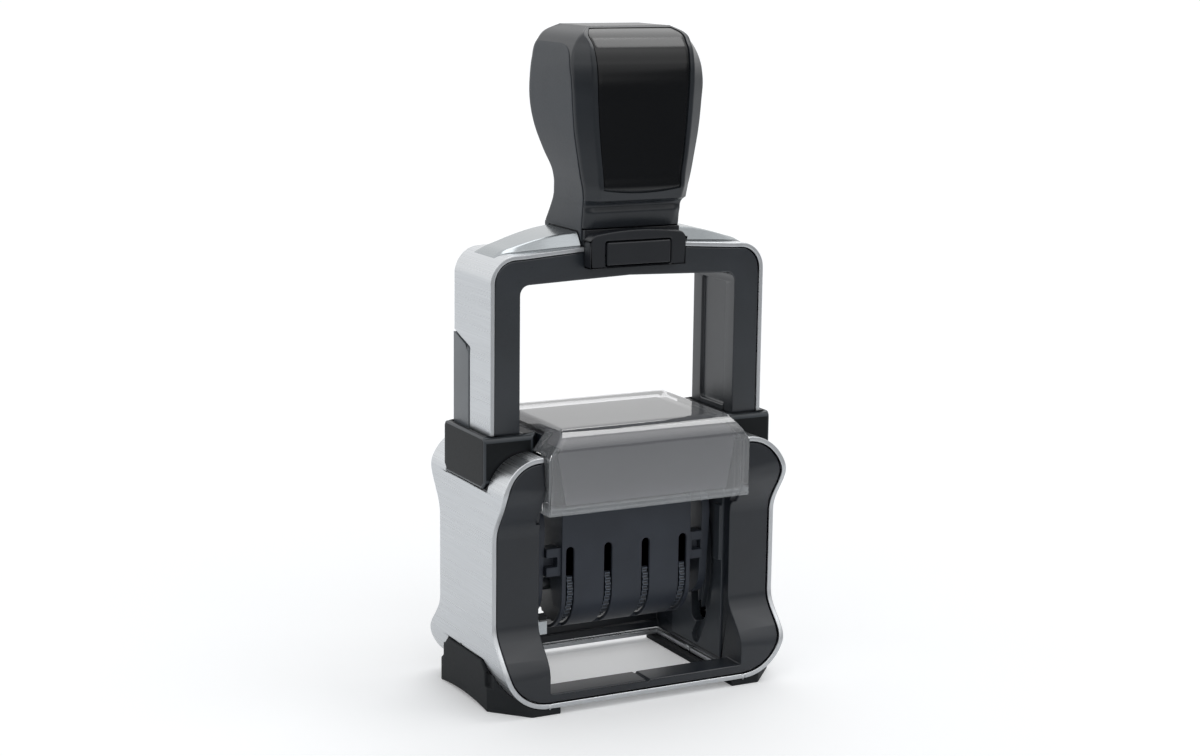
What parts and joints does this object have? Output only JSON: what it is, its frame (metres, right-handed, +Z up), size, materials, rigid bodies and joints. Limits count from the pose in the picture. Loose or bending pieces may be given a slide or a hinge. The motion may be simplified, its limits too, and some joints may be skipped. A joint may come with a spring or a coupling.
{
  "type": "self-inking date stamp",
  "caption": "Self-inking date stamp: a sprung yoke with a palm grip slides in a steel-banded base and turns over a drum of toothed date wheels.",
  "frame": {"origin": "centre of the base on the surface that it stands on", "axes": "+Z up along the grip, +X to the right seen from the front, -Y towards the front with the clear cover"},
  "size_m": [0.0716, 0.0412, 0.148],
  "materials": {
    "brushed_steel": "fine grain, satin",
    "polished_steel": "smooth, softly polished",
    "spring_steel": "plain drawn steel",
    "black_plastic": "moulded, satin",
    "collar_plastic": "moulded, satin",
    "strip_plastic": "moulded, matt",
    "grip_bezel": "moulded, satin",
    "grip_pad": "fine matt",
    "gloss_panel": "high gloss",
    "drum_plastic": "moulded, slightly blue, satin",
    "clear_plastic": "clear, polished",
    "card_stock": "plain grey card",
    "foot_rubber": "matt",
    "band_rubber": "matt",
    "ink_felt": "inked felt"
  },
  "bodies": {
    "base": {"base_shell": "brushed_steel", "inner_frame": "black_plastic", "right_cam_plate": "black_plastic", "left_cam_plate": "black_plastic", "right_collar": "collar_plastic", "left_collar": "collar_plastic", "right_foot_rail": "foot_rubber", "left_foot_rail": "foot_rubber", "cartridge_cradle": "black_plastic", "left_spring": "spring_steel", "right_spring": "spring_steel", "stop_clip": "spring_steel"},
    "yoke": {"yoke_band": "brushed_steel", "yoke_frame": "black_plastic", "right_leg_strip": "strip_plastic", "left_leg_strip": "strip_plastic", "right_fairing": "polished_steel", "left_fairing": "polished_steel", "hub": "black_plastic", "lock_spring": "spring_steel", "handle_screw": "spring_steel", "grip_core": "grip_bezel", "front_panel": "gloss_panel", "rear_panel": "gloss_panel", "right_grip_pad": "grip_pad", "left_grip_pad": "grip_pad", "right_stub_axle": "spring_steel", "left_stub_axle": "spring_steel"},
    "button": {"lock_button": "black_plastic"},
    "date_unit": {"right_cheek": "drum_plastic", "left_cheek": "drum_plastic", "right_guide_pin": "spring_steel", "left_guide_pin": "spring_steel", "wheel_axle": "spring_steel", "print_bridge": "drum_plastic", "drum_cover": "drum_plastic", "date_band_1": "band_rubber", "date_band_2": "band_rubber", "date_band_3": "band_rubber", "date_band_4": "band_rubber"},
    "cartridge": {"cartridge_tray": "black_plastic", "ink_pad": "ink_felt"},
    "cover": {"clear_cover": "clear_plastic", "index_card": "card_stock"},
    "wheel_1": {"thumbwheel_1": "drum_plastic"},
    "wheel_2": {"thumbwheel_2": "drum_plastic"},
    "wheel_3": {"thumbwheel_3": "drum_plastic"},
    "wheel_4": {"thumbwheel_4": "drum_plastic"}
  },
  "joints": [
    {"name": "yoke_slide", "type": "slide", "parent": "base", "child": "yoke", "axis": [0, 0, -1], "range_m": [0, 0.026], "stiffness_N_per_m": 300, "springref_m": -0.02, "deforming": ["left_spring", "right_spring"]},
    {"name": "unit_flip", "type": "hinge", "parent": "yoke", "child": "date_unit", "pos_m": [0, 0, 0.038], "axis": [1, 0, 0], "range_deg": [0, 180]},
    {"name": "button_press", "type": "slide", "parent": "yoke", "child": "button", "axis": [0, 1, 0], "range_m": [0, 0.0014], "stiffness_N_per_m": 800, "springref_m": -0.0005},
    {"name": "cartridge_slide", "type": "slide", "parent": "base", "child": "cartridge", "axis": [0, 1, 0], "range_m": [0, 0.05]},
    {"name": "cover_slide", "type": "slide", "parent": "base", "child": "cover", "axis": [0, -1, 0], "range_m": [0, 0.045]},
    {"name": "wheel_1_turn", "type": "hinge", "parent": "date_unit", "child": "wheel_1", "pos_m": [-0.01425, -0.0009, 0.0239], "axis": [1, 0, 0], "continuous": true},
    {"name": "wheel_2_turn", "type": "hinge", "parent": "date_unit", "child": "wheel_2", "pos_m": [-0.00475, -0.0009, 0.0239], "axis": [1, 0, 0], "continuous": true},
    {"name": "wheel_3_turn", "type": "hinge", "parent": "date_unit", "child": "wheel_3", "pos_m": [0.00475, -0.0009, 0.0239], "axis": [1, 0, 0], "continuous": true},
    {"name": "wheel_4_turn", "type": "hinge", "parent": "date_unit", "child": "wheel_4", "pos_m": [0.01425, -0.0009, 0.0239], "axis": [1, 0, 0], "continuous": true}
  ],
  "couplings": [
    {"joint": "unit_flip", "follows": "yoke_slide", "rad_per_m": 120.83}
  ]
}
